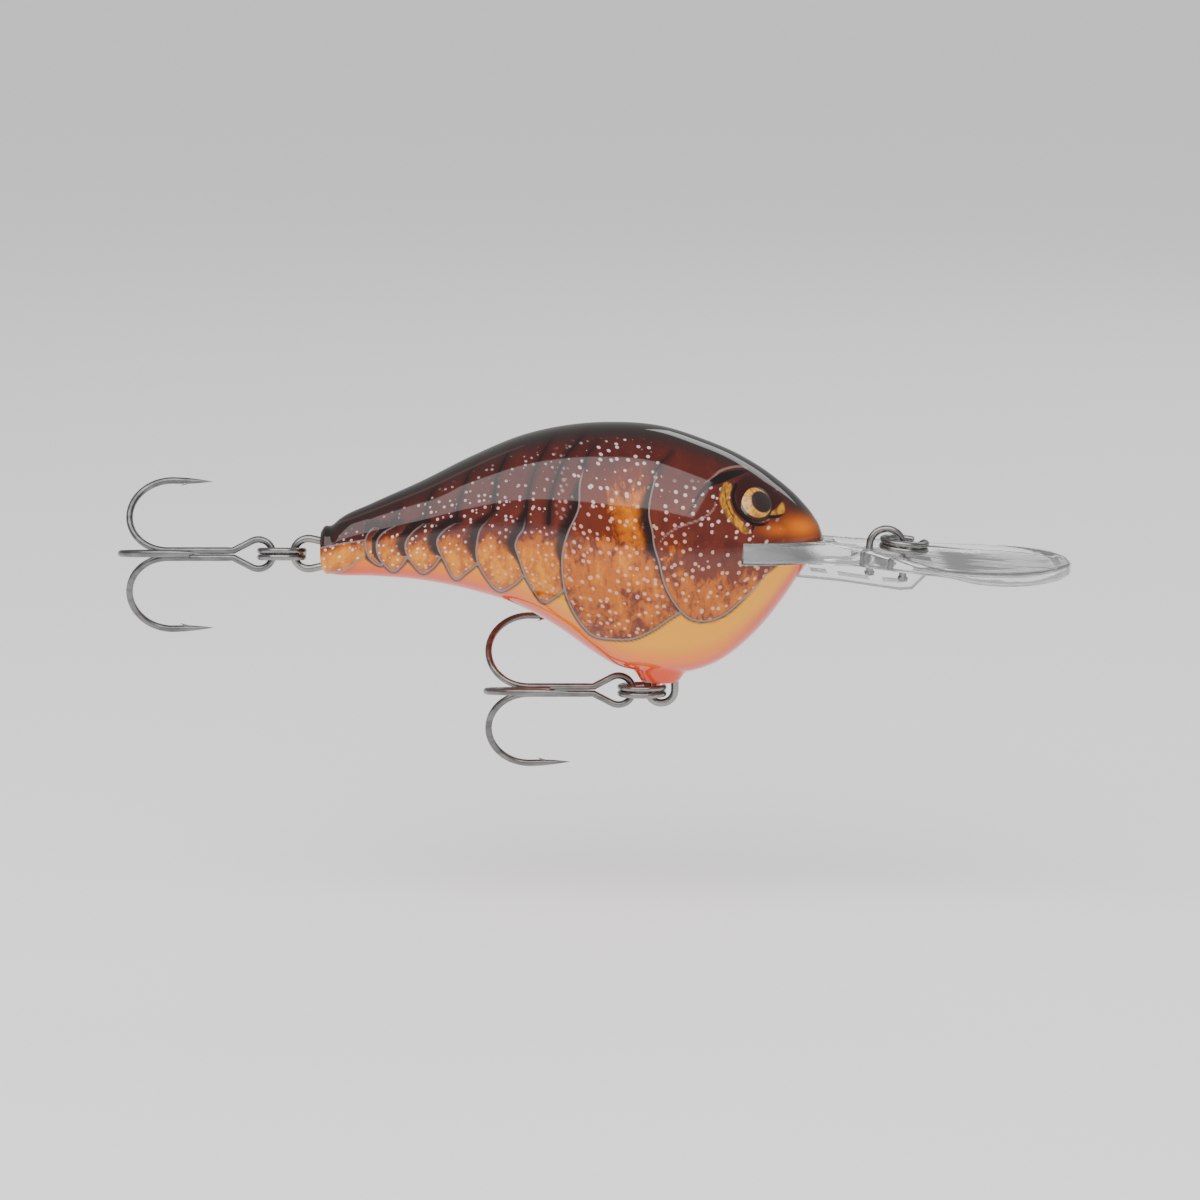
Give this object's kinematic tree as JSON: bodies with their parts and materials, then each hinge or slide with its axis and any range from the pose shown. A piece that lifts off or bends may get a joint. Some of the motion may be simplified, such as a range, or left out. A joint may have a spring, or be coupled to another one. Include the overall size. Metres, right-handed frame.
{
  "type": "crankbait fishing lure",
  "caption": "Deep-diving crankbait: painted hollow two-shell body, clear diving lip with line-tie arch and ring, treble hooks swinging on split rings, ballast and rattle inside.",
  "frame": {"origin": "middle of the line-tie arch above the diving lip, on the lure's centre plane", "axes": "+X from the tail towards the lip, +Z towards the back of the body, +Y to the lure's left side"},
  "size_m": [0.1135, 0.0222, 0.0426],
  "materials": {
    "painted_shell": "gloss",
    "eye": "gloss",
    "clear_lip": "clear",
    "nickel_wire": "gloss",
    "ring_steel": "gloss",
    "hook_steel": "gloss",
    "ballast_brass": "satin",
    "ball_steel": "gloss"
  },
  "bodies": {
    "lure": {"body_left_shell": "painted_shell", "body_right_shell": "painted_shell", "eye_left": "eye", "eye_right": "eye", "diving_lip": "clear_lip", "line_tie_wire": "nickel_wire", "belly_hook_hanger": "nickel_wire", "tail_hook_hanger": "nickel_wire", "ballast_slug": "ballast_brass"},
    "line_ring": {"line_tie_split_ring": "ring_steel"},
    "belly_ring": {"belly_split_ring": "ring_steel"},
    "belly_hook": {"belly_hook_double": "hook_steel", "belly_hook_single": "hook_steel"},
    "tail_ring": {"tail_split_ring": "ring_steel"},
    "tail_hook": {"tail_hook_double": "hook_steel", "tail_hook_single": "hook_steel"},
    "rattle": {"rattle_balls": "ball_steel"}
  },
  "joints": [
    {"name": "line_ring_swing", "type": "hinge", "parent": "lure", "child": "line_ring", "pos_m": [-0.00047, 0, 0.00038], "axis": [0, 1, 0], "range_deg": [-150, 0]},
    {"name": "belly_ring_swing", "type": "hinge", "parent": "lure", "child": "belly_ring", "pos_m": [-0.02687, 0, -0.01762], "axis": [0, 1, 0], "range_deg": [-150, 0]},
    {"name": "belly_hook_turn", "type": "hinge", "parent": "belly_ring", "child": "belly_hook", "pos_m": [-0.0292, 0, -0.01767], "axis": [0, 0.0872, 0.9962], "range_deg": [-60, 10]},
    {"name": "tail_ring_swing", "type": "hinge", "parent": "lure", "child": "tail_ring", "pos_m": [-0.06912, 0, -0.00101], "axis": [0, 1, 0], "range_deg": [-85, 85]},
    {"name": "tail_hook_turn", "type": "hinge", "parent": "tail_ring", "child": "tail_hook", "pos_m": [-0.07235, 0, -0.00107], "axis": [0, 0.1736, 0.9848], "range_deg": [-60, 60]},
    {"name": "rattle_slide", "type": "slide", "parent": "lure", "child": "rattle", "axis": [1, 0, 0], "range_m": [-0.0025, 0.0025]}
  ]
}
